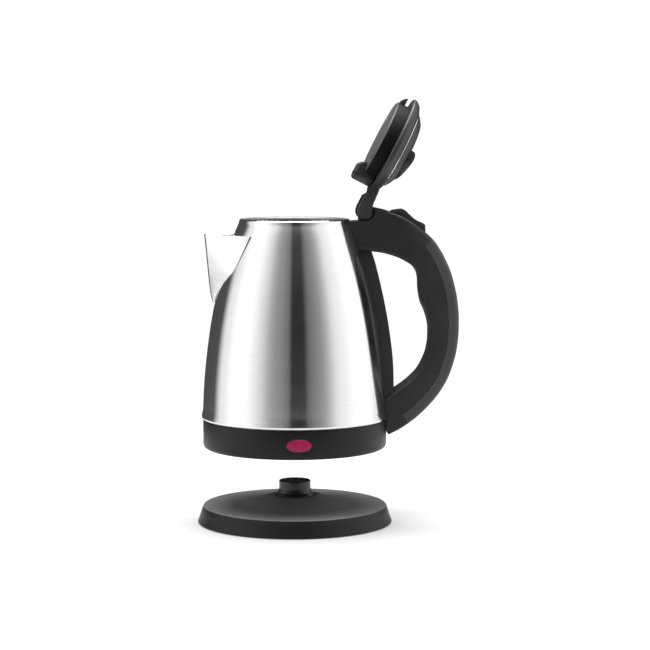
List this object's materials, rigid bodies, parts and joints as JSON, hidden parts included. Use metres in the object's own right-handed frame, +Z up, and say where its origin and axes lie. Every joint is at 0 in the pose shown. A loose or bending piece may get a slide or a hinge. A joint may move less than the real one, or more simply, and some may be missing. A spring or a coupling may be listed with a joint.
{
  "type": "electric kettle",
  "caption": "Cordless electric kettle: tapered brushed-steel body with a V spout, D handle and hinged lid, lifting and turning on a round power base.",
  "frame": {"origin": "on the power base's axis, at the level of the surface that it stands on", "axes": "+Z up, +X from the spout towards the handle, -Y the side with the indicator lens"},
  "size_m": [0.2153, 0.1608, 0.3481],
  "materials": {
    "steel": "brushed round the body",
    "black_plastic": "satin moulded",
    "cover_plastic": "satin moulded",
    "rocker_plastic": "satin moulded",
    "under_plastic": "fine moulded texture",
    "base_plastic": "fine moulded texture",
    "connector_plastic": "smooth moulded",
    "lid_lining": "satin moulded",
    "lid_ring": "polished",
    "lens": "clear red, polished",
    "lamp": "clear",
    "spreader": "rolled",
    "element": "heat-tinted sheath",
    "cream_plastic": "moulded",
    "contact_brass": "stamped",
    "fasteners": "zinc plated",
    "pale_rubber": "soft silicone",
    "red_rubber": "soft silicone",
    "feet_rubber": "soft, fine texture",
    "wire_sleeve": "extruded insulation"
  },
  "bodies": {
    "kettle": {"body_shell": "steel", "spout": "steel", "vessel_floor": "steel", "heat_spreader": "spreader", "heating_element": "element", "controller": "cream_plastic", "boil_dry_discs": "contact_brass", "controller_screws": "fasteners", "lower_ring": "black_plastic", "foot_gasket": "pale_rubber", "bottom_cover": "under_plastic", "cover_screws": "fasteners", "indicator_lens": "lens", "indicator_lamp": "lamp", "handle_shell": "black_plastic", "handle_cover": "cover_plastic", "handle_strap": "black_plastic", "handle_screws": "fasteners", "screw_seals": "red_rubber", "steam_switch": "cream_plastic", "steam_disc": "contact_brass", "wire_harness": "wire_sleeve", "hinge_pin": "fasteners", "rocker_pin": "fasteners"},
    "switch_rocker": {"switch_rocker": "rocker_plastic"},
    "lid": {"lid_flange": "black_plastic", "lid_trim_ring": "lid_ring", "lid_cap": "black_plastic", "lid_inner": "lid_lining", "lid_steam_duct": "lid_lining", "lid_screws": "fasteners"},
    "lid_latch": {"lid_latch": "connector_plastic", "thumb_ridge": "black_plastic"},
    "socket": {"base_socket": "connector_plastic", "socket_rings": "contact_brass", "earth_pin": "contact_brass"},
    "power_base": {"base_top": "base_plastic", "base_bottom": "under_plastic", "base_connector": "connector_plastic", "live_ring": "contact_brass", "neutral_ring": "contact_brass", "earth_sleeve": "contact_brass", "base_feet": "feet_rubber", "base_screws": "fasteners", "cord_gland": "connector_plastic", "cord_clamp": "cream_plastic", "clamp_screws": "fasteners"}
  },
  "joints": [
    {"name": "swivel", "type": "hinge", "parent": "kettle", "child": "socket", "pos_m": [0, 0, 0.0623], "axis": [0, 0, 1], "continuous": true},
    {"name": "lift", "type": "slide", "parent": "socket", "child": "power_base", "axis": [0, 0, 1], "range_m": [-0.1, 0.0475]},
    {"name": "lid_hinge", "type": "hinge", "parent": "kettle", "child": "lid", "pos_m": [0.0574, 0, 0.2563], "axis": [0, 1, 0], "range_deg": [-117, 0]},
    {"name": "latch_slide", "type": "slide", "parent": "lid", "child": "lid_latch", "axis": [-0.454, 0, -0.891], "range_m": [0, 0.003], "stiffness_N_per_m": 300, "springref_m": -0.003},
    {"name": "switch_tilt", "type": "hinge", "parent": "kettle", "child": "switch_rocker", "pos_m": [0.091, 0, 0.2453], "axis": [0, 1, 0], "range_deg": [0, 10]}
  ]
}
